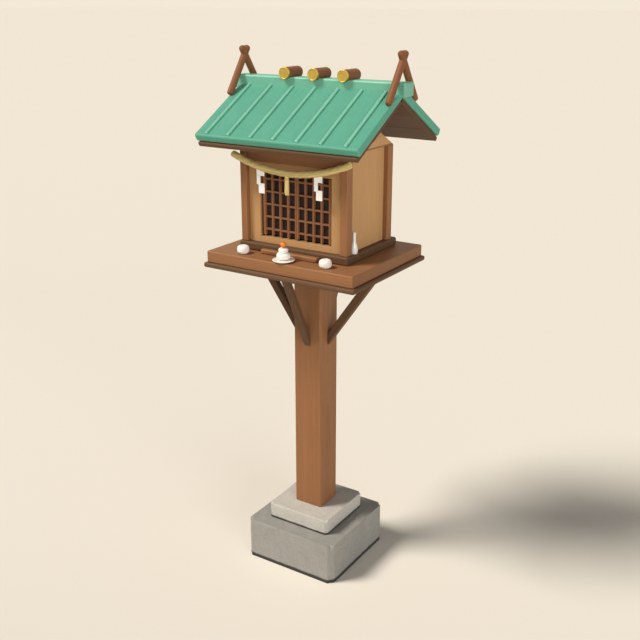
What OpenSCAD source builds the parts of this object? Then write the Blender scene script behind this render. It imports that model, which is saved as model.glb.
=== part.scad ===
// Roadside shrine: a small gabled wooden sanctuary on one braced post that
// stands on two cut stones. The front faces -Y, the ground is z = 0, and the
// origin is under the middle of the post. All sizes are millimetres.

/* [Stones] */
// Side of the lower stone
lower_stone_w = 366; // [280:1:460]
// Height of the lower stone
lower_stone_h = 150; // [100:1:220]
// Width cut off the lower stone's top edges
lower_stone_cut = 17; // [8:1:40]
// Height of the cut along the lower stone's top edges
lower_stone_drop = 30; // [15:1:50]
// Width cut off the lower stone's upright corners
lower_stone_corner = 17; // [6:1:40]
// Bevel around the foot of the lower stone
lower_stone_foot = 13; // [3:1:20]
// Side of the upper stone
upper_stone_w = 250; // [180:1:270]
// Height of the upper stone
upper_stone_h = 57.5; // [42:0.5:80]
// Width cut off the upper stone's top edges
upper_stone_cut = 11; // [6:1:24]
// Height of the cut along the upper stone's top edges
upper_stone_drop = 22; // [8:1:30]
// Width cut off the upper stone's upright corners
upper_stone_corner = 10; // [4:1:24]
// Bevel around the foot of the upper stone
upper_stone_foot = 7; // [3:1:10]

/* [Post and braces] */
// Side of the square post
post_w = 110; // [80:1:140]
// Height of the post between the upper stone and the platform
post_h = 901; // [600:1:1200]
// Bevel on the post's edges
post_bevel = 5; // [1:0.5:8]
// Thickness of the left and right braces, seen from their side
side_brace_t = 28; // [16:1:40]
// Width of the left and right braces
side_brace_w = 25; // [16:1:45]
// How far inside the tray's edge the left and right braces meet the tray
side_brace_inset = 38; // [10:1:60]
// Thickness of the front and back braces, seen from their side
front_brace_t = 23; // [14:1:40]
// Width of the front and back braces
front_brace_w = 25; // [14:1:45]
// How far inside the tray's edge the front and back braces meet the tray
front_brace_inset = 42; // [10:1:60]
// Height from a brace's foot up to the tray
brace_drop = 283; // [200:1:360]

/* [Platform] */
// Width of the tray under the platform slab
tray_w = 586; // [520:1:660]
// Depth of the tray
tray_d = 480; // [470:1:540]
// Thickness of the tray
tray_h = 17; // [10:1:30]
// Width of the platform slab
slab_w = 566; // [480:1:620]
// Depth of the platform slab
slab_d = 461; // [440:1:520]
// Thickness of the platform slab
slab_h = 39; // [25:1:60]
// Thickness of the plinth board, which is also the floor inside
plinth_h = 28; // [18:1:45]
// How far the plinth stands out beyond the front and the sides of the body
plinth_reach = 6; // [3:1:14]
// How far the plinth stands out behind the body
plinth_back_reach = 29; // [3:1:36]
// Length of the step bar in front of the plinth
step_w = 222; // [120:1:300]
// Depth of the step bar
step_d = 21; // [12:1:28]
// Height of the step bar
step_h = 16; // [8:1:24]

/* [Walls] */
// Width of the body over its corner posts
body_w = 411; // [380:1:460]
// Depth of the body over its corner posts
body_d = 290; // [260:1:310]
// How far the middle of the body lies behind the middle of the post
body_shift = 7.1; // [-10:0.1:15]
// Height of the corner posts
corner_post_h = 316; // [296:1:380]
// Width of a corner post
corner_post_w = 25; // [18:0.5:32]
// Depth of a corner post, front to back
corner_post_d = 33; // [24:0.5:34]
// Thickness of the wall panels
panel_t = 7.5; // [5:0.5:12]
// How far a panel lies behind the corner posts' faces
panel_recess = 16; // [8:0.5:20]
// Height of the beams along the top of the front and back walls
beam_h = 48; // [30:1:60]
// Depth of those beams
beam_d = 23.5; // [18:0.5:30]
// How far the beams lie behind the corner posts' faces
beam_recess = 5; // [1:0.5:10]
// Thickness of the ceiling board
ceiling_t = 12; // [6:1:20]
// Thickness of the gable boards
gable_t = 16.5; // [10:0.5:24]
// Height of the gable boards at their peak
gable_h = 79; // [50:1:86]

/* [Doors] */
// Width of the doorway
doorway_w = 276; // [240:1:300]
// Height of the sill rail under the doorway
sill_h = 19.5; // [15:0.5:30]
// Height of the doorway
doorway_h = 218; // [180:1:225]
// Depth of the sill and header rails
rail_d = 23; // [20:0.5:30]
// Thickness of the jamb linings behind the front panels
jamb_t = 12; // [6:0.5:16]
// How far a jamb lining stands back from the edge of the doorway
jamb_clear = 4.5; // [4:0.5:8]
// Gap above and below a door leaf
door_gap = 5; // [3:0.5:8]
// Gap beside a door leaf's hanging stile
hinge_gap = 6; // [5:0.5:9]
// Gap between the two door leaves
leaf_gap = 1.2; // [0.8:0.1:3]
// Width of a hanging stile
hanging_stile_w = 9; // [8:0.5:12]
// Width of a meeting stile
meeting_stile_w = 5.5; // [3:0.5:7]
// Width of a lattice bar
bar_w = 6; // [4:0.5:9]
// Depth of the lattice
bar_d = 10; // [8:0.5:12]
// Upright bars between the stiles of a leaf
upright_count = 3; // [2:1:5]
// Level bars in a leaf
level_count = 5; // [3:1:6]
// Distance between the middles of the level bars
level_pitch = 41.8; // [28:0.1:42]
// Thickness of the dark board behind the lattice
backing_t = 4; // [2:0.5:6]
// How far the lattice lies behind the face of the front panels
lattice_recess = 8; // [6:0.5:9]
// Diameter of a door's pivot pins
pin_dia = 5; // [3:0.5:6]
// Length of a pin inside its rail
pin_depth = 8; // [5:0.5:12]
// Radial clearance around a pin
pin_play = 0.1; // [0.05:0.05:0.3]

/* [Roof] */
// Length of the roof sheets along the ridge
roof_w = 609; // [540:1:660]
// Slope length of a roof sheet
roof_slope = 297.5; // [285:0.5:330]
// Pitch of the roof, in degrees
roof_pitch = 29.7; // [28.5:0.1:32]
// Height of the peak of the roof sheets' underside above the walls
roof_rise = 164; // [158:1:200]
// How far the ridge lies behind the middle of the body
ridge_shift = 18.5; // [0:0.5:30]
// Thickness of the roof sheets
sheet_t = 26.5; // [12:0.5:30]
// Thickness of the boards under the roof sheets
roof_board_t = 15.5; // [8:0.5:20]
// Gap between the roof boards and the sheets
roof_board_gap = 0.2; // [0.1:0.1:1]
// How far the roof boards end inside the ends of the sheets
roof_board_inset = 8; // [3:1:20]
// How far the roof boards run past the lower edge of the sheets
roof_board_reach = 6; // [0:0.5:8]
// Standing seams on each slope
seam_count = 7; // [3:1:9]
// Distance between the middles of the seams
seam_pitch = 86; // [50:1:90]
// Width of a seam
seam_w = 10; // [4:0.5:14]
// Height of a seam above the sheet
seam_h = 6.5; // [2:0.5:9]
// Distance from the lower edge of a sheet to the end of its seams
seam_end = 13; // [5:1:40]
// Thickness of the boards that carry the roof
truss_t = 18; // [10:1:28]
// Distance of those boards from the middle of the body
truss_x = 140; // [60:1:150]
// How far those boards stop short of the corner posts' faces
truss_inset = 8; // [5:1:20]

/* [Ridge] */
// Length of the ridge cap
cap_w = 648; // [614:1:700]
// Depth of the ridge cap
cap_d = 58; // [40:1:70]
// Height of the ridge cap's sides
cap_h = 44; // [32:1:60]
// Height of the cap's top above the peak of the sheets
cap_cover = 16; // [10:1:24]
// Diameter of the crossed logs
crossed_log_dia = 23; // [14:0.5:30]
// Distance of the crossed logs from the ends of the ridge cap
crossed_log_inset = 26; // [18:1:60]
// Gap between a crossed log and the corner of the ridge cap
crossed_log_gap = 1.5; // [1:0.5:5]
// Height of the crossed logs' tops above the peak of the sheets
crossed_log_rise = 105; // [90:1:150]
// How far the crossed logs run past the ridge
crossed_log_pass = 17; // [12:1:30]
// Diameter of the short logs along the ridge
ridge_log_dia = 39; // [28:1:56]
// Length of a short log with its end cap
ridge_log_length = 88; // [76:1:140]
// Distance between the short logs
ridge_log_pitch = 110.5; // [60:0.5:130]
// Short logs along the ridge
ridge_log_count = 3; // [1:1:3]
// Depth of the seat cut into a short log
ridge_log_seat = 8; // [3:0.5:12]
// Thickness of the metal cap on the front end of a short log
end_cap_t = 8; // [2:0.5:12]

/* [Rope] */
// Diameter of the straw rope
rope_dia = 23; // [22:0.5:24]
// Diameter of the pegs that carry the rope
peg_dia = 8; // [4:0.5:12]
// Distance of the straw tassel from the middle, to the left
tassel_x = 8; // [0:1:20]
// Diameter of the straw tassel
tassel_dia = 16; // [10:1:20]
// Length of the tassel below the rope
tassel_length = 58; // [30:1:70]
// Distance of the paper streamers from the middle
streamer_x = 110; // [90:1:120]
// Width of a streamer over its folds
streamer_w = 30; // [20:1:36]
// Height of a streamer's first step
streamer_step = 17; // [12:1:26]
// Height of the narrow stretch under a streamer's first step
streamer_drop = 24; // [14:1:30]
// Height of a streamer's last step
streamer_tail = 32; // [20:1:40]
// How far the narrow stretch runs down beside the last step
streamer_fold = 4; // [2:0.5:8]
// Thickness of a streamer
streamer_t = 1.5; // [1:0.1:3]
// Height of a streamer's top above the lowest point of the rope
streamer_top = 11.5; // [10:0.5:12.5]

/* [Offerings] */
// Distance of the dish from the middle, to the right
dish_x = 9; // [0:1:20]
// Gap between the step bar and the dish
dish_gap = 0.5; // [0.3:0.1:2]
// Diameter of the dish
dish_dia = 74; // [60:1:76]
// Diameter of the dish's foot
dish_foot_dia = 44; // [30:1:50]
// Height of the dish
dish_h = 8; // [5:0.5:12]
// Diameter of the lower rice cake
cake_dia = 46; // [34:1:56]
// Height of the lower rice cake
cake_h = 22; // [14:1:28]
// Diameter of the upper rice cake
top_cake_dia = 32; // [22:1:40]
// Height of the upper rice cake
top_cake_h = 16; // [10:1:22]
// Rounding of the stacked cakes' edges, as a share of their height
cake_round = 0.42; // [0.2:0.02:0.46]
// Diameter of the orange
orange_dia = 20; // [14:1:28]
// Diameter of a side cake
side_cake_dia = 41; // [34:1:56]
// Height of a side cake
side_cake_h = 28; // [16:1:34]
// Rounding of the side cakes' edges, as a share of their height
side_cake_round = 0.38; // [0.2:0.02:0.46]
// Distance of the side cakes from the middle
side_cake_x = 160; // [140:1:200]
// Gap between the plinth and the side cakes
side_cake_gap = 27; // [3:1:30]
// Height of a vase
vase_h = 70; // [50:1:90]
// Diameter of a vase's belly
vase_dia = 24; // [22:1:34]
// Diameter of a vase's neck
vase_neck_dia = 10.5; // [10:0.5:14]
// How far a vase's lip stands out from its neck
vase_lip_reach = 1; // [0.5:0.5:2]
// Height of a vase's lip
vase_lip_h = 2; // [1:0.5:4]
// Diameter of a vase's foot
vase_foot_dia = 20; // [14:1:24]
// Diameter of the hole down a vase
vase_bore_dia = 7; // [6:0.5:8]
// Depth of the hole down a vase
vase_bore_depth = 55; // [30:1:60]
// Distance from the front of the body to the middle of a vase
vase_back = 51; // [51:1:80]

/* [Hidden] */
$fn = 48;
overlap = 1;
far = 2000;

// Levels, from the ground up
upper_stone_z = lower_stone_h;
post_z = upper_stone_z + upper_stone_h;
tray_z = post_z + post_h;
slab_z = tray_z + tray_h;
plinth_z = slab_z + slab_h;
floor_z = plinth_z + plinth_h;
wall_top_z = floor_z + corner_post_h;
beam_z = wall_top_z - beam_h;
doorway_z = floor_z + sill_h;
header_z = doorway_z + doorway_h;

// Plan of the body
body_x = body_w / 2;
front_y = body_shift - body_d / 2;
back_y = body_shift + body_d / 2;
plinth_w = body_w + 2 * plinth_reach;
plinth_front_y = front_y - plinth_reach;
between_posts = body_w - 2 * corner_post_w;
panel_y = front_y + panel_recess;
inner_front_y = front_y + beam_recess + beam_d;
inner_back_y = back_y - beam_recess - beam_d;
side_inner_x = body_x - panel_recess - panel_t;
side_wall_inset = max(corner_post_d, panel_recess + panel_t);

// Doors
leaf_edge_x = doorway_w / 2 - hinge_gap;
axis_x = leaf_edge_x - hanging_stile_w / 2;
lattice_y = panel_y + lattice_recess;
axis_y = lattice_y + bar_d / 2;
leaf_z = doorway_z + door_gap;
leaf_h = doorway_h - 2 * door_gap;
uprights_from = leaf_gap / 2 + meeting_stile_w;
uprights_to = leaf_edge_x - hanging_stile_w;
upright_step = (uprights_to - uprights_from + bar_w) / (upright_count + 1);
level_from = leaf_z + leaf_h / 2 - (level_count - 1) / 2 * level_pitch;

// Roof
ridge_y = body_shift + ridge_shift;
peak_z = wall_top_z + roof_rise;
sheet_peak_z = peak_z + sheet_t / cos(roof_pitch);
board_peak_z = peak_z - (roof_board_gap + roof_board_t) / cos(roof_pitch);
board_slope = roof_slope + roof_board_reach;
cap_top_z = sheet_peak_z + cap_cover;
seam_start = cap_d / 2 / cos(roof_pitch) - sheet_t * tan(roof_pitch);
log_axis_z = cap_top_z + ridge_log_dia / 2 - ridge_log_seat;
crossed_log_x = cap_w / 2 - crossed_log_inset;

// Crossed logs: each leans down from its top, past the corner of the cap, to the slope
past_cap = [cap_d / 2 + crossed_log_pass, crossed_log_rise - cap_cover];
crossed_lean = atan2(past_cap[0], past_cap[1])
    + asin((crossed_log_dia / 2 + crossed_log_gap) / norm(past_cap));
crossed_length = (crossed_log_rise - crossed_log_pass * tan(roof_pitch))
    / (cos(crossed_lean) - sin(crossed_lean) * tan(roof_pitch));

// Rope: its route from end to end, from the body's front and the foot of the posts
rope_points = [
    [-220, -17, 290.5], [-208, -17, 286], [-192, -17, 280],
    [-170, -17, 272.5], [-145, -17, 265], [-115, -17, 257.5],
    [-80, -17, 251], [-40, -17, 246.5], [0, -17, 245],
    [40, -17, 246.5], [80, -17, 251], [115, -17, 257.5],
    [145, -17, 265], [170, -17, 272.5], [192, -17, 280],
    [210, -17, 286.5], [226, -17, 293]];
rope_route = [for (q = rope_points) q + [0, front_y, floor_z]];
rope_sides = 12;
rope_y = rope_route[0][1];
rope_low_z = rope_route[(len(rope_route) - 1) / 2][2];
peg_x = body_x - corner_post_w / 2;
peg_z = lookup(peg_x, [for (q = rope_route) [q[0], q[2]]]);
// How far the pegs, the tassel and the streamers are pushed into the straw
rope_grip = 3;

// Offerings
offering_y = plinth_front_y - step_d - dish_gap - dish_dia / 2;
side_cake_y = plinth_front_y - side_cake_gap - side_cake_dia / 2;

// ---- Shared shapes ----

// A box from its lowest corner to its highest corner
module block(low, high) {
    translate(low) cube(high - low);
}

// A profile drawn in Y and Z, drawn out along X between two places
module along_x(x0, x1) {
    translate([x0, 0, 0]) rotate([90, 0, 90]) linear_extrude(x1 - x0) children();
}

// A square with its corners cut off
module cut_square(w, corner) {
    intersection() {
        square(w, center = true);
        rotate(45) square(sqrt(2) * (w - corner), center = true);
    }
}

// The side view of a cut stone: a small bevel at its foot, a wide one on top
module stone_profile(w, h, cut, drop, foot) {
    half = w / 2;
    polygon([[foot - half, 0], [half - foot, 0], [half, foot], [half, h - drop],
        [half - cut, h], [cut - half, h], [-half, h - drop], [-half, foot]]);
}

module cut_stone(w, h, cut, drop, corner, foot) {
    intersection() {
        linear_extrude(h) cut_square(w, corner);
        for (turn = [0, 90])
            rotate(turn) along_x(-w, w) stone_profile(w, h, cut, drop, foot);
    }
}

// Everything under the top face of the roof sheets, down far below the eaves
module under_sheets(x0, x1) {
    drop = far * tan(roof_pitch);
    along_x(x0, x1) translate([ridge_y, 0])
        polygon([[0, sheet_peak_z], [-far, sheet_peak_z - drop],
            [far, sheet_peak_z - drop]]);
}

// A point on a roof slope: how far down the slope, and how far above the
// sheets' underside; it gives the distance from the ridge and the height
function on_slope(down, up) = [
    down * cos(roof_pitch) + up * sin(roof_pitch),
    peak_z - down * sin(roof_pitch) + up * cos(roof_pitch)];

// A layer of a roof slope; side is -1 for the front and 1 for the back
module slope_layer(side, x, low, high, slope) {
    along_x(-x, x) translate([ridge_y, 0]) scale_y(side)
        polygon([[0, peak_z + low / cos(roof_pitch)], on_slope(slope, low),
            on_slope(slope, high), [0, peak_z + high / cos(roof_pitch)]]);
}

// Mirrors a flat profile to the front or leaves it at the back
module scale_y(side) {
    if (side < 0) mirror([1, 0]) children();
    else children();
}

// ---- Stones, post and braces ----

module lower_stone() {
    color([0.60, 0.59, 0.54])
        cut_stone(lower_stone_w, lower_stone_h, lower_stone_cut, lower_stone_drop,
            lower_stone_corner, lower_stone_foot);
}

module upper_stone() {
    color([0.76, 0.75, 0.69]) translate([0, 0, upper_stone_z])
        cut_stone(upper_stone_w, upper_stone_h, upper_stone_cut, upper_stone_drop,
            upper_stone_corner, upper_stone_foot);
}

module main_post() {
    color([0.60, 0.38, 0.24]) translate([0, 0, post_z])
        linear_extrude(post_h) cut_square(post_w, post_bevel);
}

// A brace of thickness t and width w that leans out along +X, from the post's
// face up to the tray, where its outer face lies at top_x
module brace(top_x, t, w) {
    lean = atan2(top_x - post_w / 2, brace_drop);
    color([0.33, 0.22, 0.15]) difference() {
        translate([post_w / 2, 0, tray_z - brace_drop]) rotate([0, lean, 0])
            translate([-t, -w / 2, 0]) cube([t, w, post_h]);
        block([-far, -far, tray_z], [far, far, far]);
        block([-far, -far, -far], [post_w / 2, far, far]);
    }
}

module side_brace() {
    brace(tray_w / 2 - side_brace_inset, side_brace_t, side_brace_w);
}

module front_brace() {
    brace(tray_d / 2 - front_brace_inset, front_brace_t, front_brace_w);
}

// ---- Platform ----

module platform_tray() {
    color([0.33, 0.22, 0.15]) block([-tray_w / 2, -tray_d / 2, tray_z],
        [tray_w / 2, tray_d / 2, slab_z]);
}

module platform_slab() {
    color([0.52, 0.30, 0.17]) block([-slab_w / 2, -slab_d / 2, slab_z],
        [slab_w / 2, slab_d / 2, plinth_z]);
}

module plinth() {
    color([0.36, 0.24, 0.16]) block([-plinth_w / 2, plinth_front_y, plinth_z],
        [plinth_w / 2, back_y + plinth_back_reach, floor_z]);
}

module step_bar() {
    color([0.50, 0.27, 0.16]) block([-step_w / 2, plinth_front_y - step_d, plinth_z],
        [step_w / 2, plinth_front_y, plinth_z + step_h]);
}

// ---- Walls ----

// A corner post; sx is -1 on the left, sy is -1 at the front
module corner_post(sx, sy) {
    x = sx * (body_x - corner_post_w / 2);
    y = body_shift + sy * (body_d - corner_post_d) / 2;
    color([0.56, 0.35, 0.22]) translate([x, y, floor_z + corner_post_h / 2])
        cube([corner_post_w, corner_post_d, corner_post_h], center = true);
}

// The right-hand panel beside the doorway, with the jamb lining behind it
module front_panel() {
    lining_x = doorway_w / 2 + jamb_clear;
    color([0.72, 0.53, 0.34]) {
        block([doorway_w / 2, panel_y, floor_z],
            [between_posts / 2, panel_y + panel_t, beam_z]);
        block([lining_x, panel_y, floor_z],
            [lining_x + jamb_t, panel_y + rail_d, beam_z]);
    }
}

// Holes for the pivot pins of both doors, open at the doorway's side
module pin_holes(z0, z1) {
    for (side = [-1, 1])
        translate([side * axis_x, axis_y, z0])
            cylinder(r = pin_dia / 2 + pin_play, h = z1 - z0);
}

module door_sill() {
    color([0.72, 0.53, 0.34]) difference() {
        block([-doorway_w / 2, panel_y, floor_z],
            [doorway_w / 2, panel_y + rail_d, doorway_z]);
        pin_holes(doorway_z - pin_depth - pin_play, doorway_z + overlap);
    }
}

module door_header() {
    color([0.72, 0.53, 0.34]) difference() {
        block([-doorway_w / 2, panel_y, header_z],
            [doorway_w / 2, panel_y + rail_d, beam_z]);
        pin_holes(header_z - overlap, header_z + pin_depth + pin_play);
    }
}

module side_wall(side) {
    outer = side * (body_x - panel_recess);
    inner = side * side_inner_x;
    color([0.70, 0.52, 0.34])
        block([min(outer, inner), front_y + side_wall_inset, floor_z],
            [max(outer, inner), back_y - side_wall_inset, wall_top_z]);
}

module back_wall() {
    outer = back_y - panel_recess;
    color([0.70, 0.52, 0.34]) block([-between_posts / 2, outer - panel_t, floor_z],
        [between_posts / 2, outer, beam_z]);
}

module front_beam() {
    color([0.40, 0.26, 0.17]) block([-between_posts / 2, front_y + beam_recess, beam_z],
        [between_posts / 2, inner_front_y, wall_top_z]);
}

module back_beam() {
    color([0.40, 0.26, 0.17]) block([-between_posts / 2, inner_back_y, beam_z],
        [between_posts / 2, back_y - beam_recess, wall_top_z]);
}

// The ceiling lies between the beams and passes inside the corner posts
module ceiling_board() {
    reach = min(side_inner_x, between_posts / 2);
    color([0.62, 0.45, 0.30]) block([-reach, inner_front_y, wall_top_z - ceiling_t],
        [reach, inner_back_y, wall_top_z]);
}

module gable_board(side) {
    outer = side * body_x;
    inner = side * (body_x - gable_t);
    color([0.70, 0.52, 0.34]) along_x(min(outer, inner), max(outer, inner))
        polygon([[front_y, wall_top_z], [back_y, wall_top_z],
            [body_shift, wall_top_z + gable_h]]);
}

// ---- Roof ----

module roof_frame(side) {
    mid = side * truss_x;
    y0 = front_y + truss_inset;
    y1 = back_y - truss_inset;
    fall = tan(roof_pitch);
    color([0.45, 0.30, 0.20]) along_x(mid - truss_t / 2, mid + truss_t / 2)
        polygon([[y0, wall_top_z], [y1, wall_top_z],
            [y1, board_peak_z - (y1 - ridge_y) * fall], [ridge_y, board_peak_z],
            [y0, board_peak_z - (ridge_y - y0) * fall]]);
}

module roof_boards(side) {
    top = -roof_board_gap;
    color([0.42, 0.28, 0.20])
        slope_layer(side, roof_w / 2 - roof_board_inset, top - roof_board_t, top, board_slope);
}

module roof_sheet(side) {
    color([0.38, 0.66, 0.55]) {
        slope_layer(side, roof_w / 2, 0, sheet_t, roof_slope);
        for (i = [0 : seam_count - 1]) {
            x = (i - (seam_count - 1) / 2) * seam_pitch;
            along_x(x - seam_w / 2, x + seam_w / 2) translate([ridge_y, 0]) scale_y(side)
                polygon([on_slope(seam_start, sheet_t - overlap),
                    on_slope(roof_slope - seam_end, sheet_t - overlap),
                    on_slope(roof_slope - seam_end, sheet_t + seam_h),
                    on_slope(seam_start, sheet_t + seam_h)]);
        }
    }
}

module cap_block() {
    block([-cap_w / 2, ridge_y - cap_d / 2, cap_top_z - cap_h],
        [cap_w / 2, ridge_y + cap_d / 2, cap_top_z]);
}

module ridge_cap() {
    color([0.40, 0.70, 0.58]) difference() {
        cap_block();
        under_sheets(-roof_w / 2, roof_w / 2);
    }
}

// One crossed log, from its free top down to the front or back slope
module crossed_log(x, side) {
    length = crossed_length + crossed_log_dia;
    difference() {
        translate([x, ridge_y - side * crossed_log_pass, sheet_peak_z + crossed_log_rise])
            rotate([side * crossed_lean, 0, 0]) translate([0, 0, -length])
                cylinder(d = crossed_log_dia, h = length);
        under_sheets(x - crossed_log_dia, x + crossed_log_dia);
    }
}

// The right-hand pair of crossed logs, halved into each other where they cross
module crossed_logs() {
    color([0.42, 0.27, 0.18]) {
        crossed_log(crossed_log_x, -1);
        crossed_log(crossed_log_x, 1);
    }
}

module along_ridge() {
    for (i = [0 : ridge_log_count - 1])
        translate([(i - (ridge_log_count - 1) / 2) * ridge_log_pitch, ridge_y, log_axis_z])
            children();
}

module ridge_logs() {
    color([0.45, 0.29, 0.18]) difference() {
        along_ridge() translate([0, end_cap_t - ridge_log_length / 2, 0])
            rotate([-90, 0, 0]) cylinder(d = ridge_log_dia, h = ridge_log_length - end_cap_t);
        cap_block();
    }
}

module log_end_caps() {
    color([0.80, 0.64, 0.28]) along_ridge() translate([0, -ridge_log_length / 2, 0])
        rotate([-90, 0, 0]) cylinder(d = ridge_log_dia, h = end_cap_t);
}

// ---- Doors ----

// A stile or bar of the right-hand leaf between two x places
module upright(x0, x1) {
    block([x0, lattice_y, leaf_z], [x1, lattice_y + bar_d, leaf_z + leaf_h]);
}

module door_lattice() {
    color([0.50, 0.34, 0.23]) {
        upright(leaf_gap / 2, uprights_from);
        upright(uprights_to, leaf_edge_x);
        for (i = [1 : upright_count])
            upright(uprights_from + i * upright_step - bar_w,
                uprights_from + i * upright_step);
        for (i = [0 : level_count - 1]) {
            z = level_from + i * level_pitch;
            block([leaf_gap / 2, lattice_y, z - bar_w / 2],
                [leaf_edge_x, lattice_y + bar_d, z + bar_w / 2]);
        }
        translate([axis_x, axis_y, doorway_z - pin_depth])
            cylinder(d = pin_dia, h = pin_depth + door_gap + overlap);
        translate([axis_x, axis_y, header_z - door_gap - overlap])
            cylinder(d = pin_dia, h = pin_depth + door_gap + overlap);
    }
}

module door_backing() {
    color([0.14, 0.10, 0.08]) block([leaf_gap / 2, lattice_y + bar_d, leaf_z],
        [axis_x, lattice_y + bar_d + backing_t, leaf_z + leaf_h]);
}

// ---- Rope ----

// Directions along and across the rope at point i of its route
function unit(v) = v / norm(v);
function rope_way(i) = unit(rope_route[min(i + 1, len(rope_route) - 1)]
    - rope_route[max(i - 1, 0)]);
function rope_side(i) = unit(cross(rope_way(i), [0, 1, 0]));
function rope_ring(i) = [for (k = [0 : rope_sides - 1])
    let (a = 360 * (k + 0.5) / rope_sides, up = rope_side(i), out = cross(up, rope_way(i)))
    rope_route[i] + rope_dia / 2 * (cos(a) * up + sin(a) * out)];

module straw_rope() {
    rings = len(rope_route);
    points = [for (i = [0 : rings - 1]) each rope_ring(i)];
    walls = [for (i = [0 : rings - 2]) for (k = [0 : rope_sides - 1])
        let (a = i * rope_sides + k, b = i * rope_sides + (k + 1) % rope_sides)
        [a, b, b + rope_sides, a + rope_sides]];
    first = [for (k = [0 : rope_sides - 1]) rope_sides - 1 - k];
    last = [for (k = [0 : rope_sides - 1]) (rings - 1) * rope_sides + k];
    color([0.80, 0.68, 0.42]) polyhedron(points, concat([first], walls, [last]));
}

module rope_pegs() {
    color([0.45, 0.29, 0.18]) for (side = [-1, 1])
        translate([side * peg_x, front_y, peg_z]) rotate([90, 0, 0])
            cylinder(d = peg_dia, h = front_y - rope_y - rope_dia / 2 + rope_grip);
}

module rope_tassel() {
    low = rope_low_z - rope_dia / 2;
    color([0.82, 0.70, 0.44]) translate([-tassel_x, rope_y, low - tassel_length])
        cylinder(d = tassel_dia, h = tassel_length + rope_grip);
}

// A paper streamer cut and folded into three steps; side is -1 on the left
module streamer(side) {
    half = streamer_w / 2;
    top = rope_low_z - rope_dia / 2 + streamer_top + rope_grip;
    first = rope_grip + streamer_step;
    second = first + streamer_drop;
    color([0.97, 0.96, 0.92])
        translate([side * streamer_x, rope_y + streamer_t / 2, top])
            rotate([90, 0, 0]) linear_extrude(streamer_t)
                polygon([[-half, 0], [half, 0], [half, -first], [0, -first], [0, -second],
                    [half, -second], [half, -second - streamer_tail],
                    [-half / 2, -second - streamer_tail], [-half / 2, -second - streamer_fold],
                    [-half, -second - streamer_fold]]);
}

// ---- Offerings ----

module on_slab(x, y) {
    translate([x, y, plinth_z]) children();
}

module offering_dish() {
    color([0.95, 0.94, 0.90]) on_slab(dish_x, offering_y)
        cylinder(d1 = dish_foot_dia, d2 = dish_dia, h = dish_h);
}

// A rice cake: a flat disc whose edges are rounded by a share of its height
module cake(d, h, share) {
    r = share * h;
    rotate_extrude() intersection() {
        square([d / 2, h]);
        union() {
            square([d / 2 - r, h]);
            translate([0, r]) square([d / 2, h - 2 * r]);
            for (z = [r, h - r])
                translate([d / 2 - r, z]) circle(r);
        }
    }
}

module rice_cakes() {
    color([0.96, 0.95, 0.91]) on_slab(dish_x, offering_y) {
        translate([0, 0, dish_h]) cake(cake_dia, cake_h, cake_round);
        translate([0, 0, dish_h + cake_h]) cake(top_cake_dia, top_cake_h, cake_round);
    }
}

module orange() {
    color([0.93, 0.45, 0.12]) on_slab(dish_x, offering_y)
        translate([0, 0, dish_h + cake_h + top_cake_h]) difference() {
            translate([0, 0, orange_dia / 2 - overlap]) sphere(d = orange_dia);
            translate([0, 0, -orange_dia]) cube(2 * orange_dia, center = true);
        }
}

module side_cake(side) {
    color([0.95, 0.94, 0.90]) on_slab(side * side_cake_x, side_cake_y)
        cake(side_cake_dia, side_cake_h, side_cake_round);
}

// Outline of a vase: a low belly that draws in to a slender neck with a lip
function vase_side() = let (
    belly = vase_dia / 2, neck = vase_neck_dia / 2,
    belly_z = 0.17 * vase_h, neck_z = 0.66 * vase_h)
    [for (i = [0 : 8]) let (t = i / 8)
        [neck + (belly - neck) * (1 + cos(180 * t)) / 2, belly_z + (neck_z - belly_z) * t]];

module vase(side) {
    lip = vase_neck_dia / 2 + vase_lip_reach;
    x = body_x - panel_recess + vase_dia / 2;
    color([0.95, 0.94, 0.90])
        translate([side * x, front_y + vase_back, floor_z]) difference() {
            rotate_extrude() polygon(concat([[0, 0], [vase_foot_dia / 2, 0]], vase_side(),
                [[lip, vase_h - vase_lip_h], [lip, vase_h], [0, vase_h]]));
            translate([0, 0, vase_h - vase_bore_depth])
                cylinder(d = vase_bore_dia, h = vase_bore_depth + overlap);
        }
}

lower_stone();
upper_stone();
main_post();
rotate(180) side_brace();  // brace_left
side_brace();  // brace_right
rotate(-90) front_brace();  // brace_front
rotate(90) front_brace();  // brace_back
platform_tray();
platform_slab();
plinth();
step_bar();
corner_post(-1, -1);  // corner_post_front_left
corner_post(1, -1);  // corner_post_front_right
corner_post(-1, 1);  // corner_post_back_left
corner_post(1, 1);  // corner_post_back_right
mirror([1, 0, 0]) front_panel();  // front_panel_left
front_panel();  // front_panel_right
door_sill();
door_header();
side_wall(-1);  // side_wall_left
side_wall(1);  // side_wall_right
back_wall();
front_beam();
back_beam();
ceiling_board();
gable_board(-1);  // gable_board_left
gable_board(1);  // gable_board_right
roof_frame(-1);  // roof_frame_left
roof_frame(1);  // roof_frame_right
roof_boards(-1);  // roof_boards_front
roof_boards(1);  // roof_boards_back
roof_sheet(-1);  // roof_sheet_front
roof_sheet(1);  // roof_sheet_back
ridge_cap();
mirror([1, 0, 0]) crossed_logs();  // crossed_logs_left
crossed_logs();  // crossed_logs_right
ridge_logs();
log_end_caps();
mirror([1, 0, 0]) door_lattice();  // door_lattice_left
door_lattice();  // door_lattice_right
mirror([1, 0, 0]) door_backing();  // door_backing_left
door_backing();  // door_backing_right
straw_rope();
rope_pegs();
rope_tassel();
streamer(-1);  // streamer_left
streamer(1);  // streamer_right
offering_dish();
rice_cakes();
orange();
side_cake(-1);  // side_cake_left
side_cake(1);  // side_cake_right
vase(-1);  // vase_left
vase(1);  // vase_right
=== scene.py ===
# Roadside shrine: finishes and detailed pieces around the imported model.
# Sizes are metres, the front faces -Y, the ground is z = 0, and each piece
# lies where its CAD node lies.

import math
import random

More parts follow.
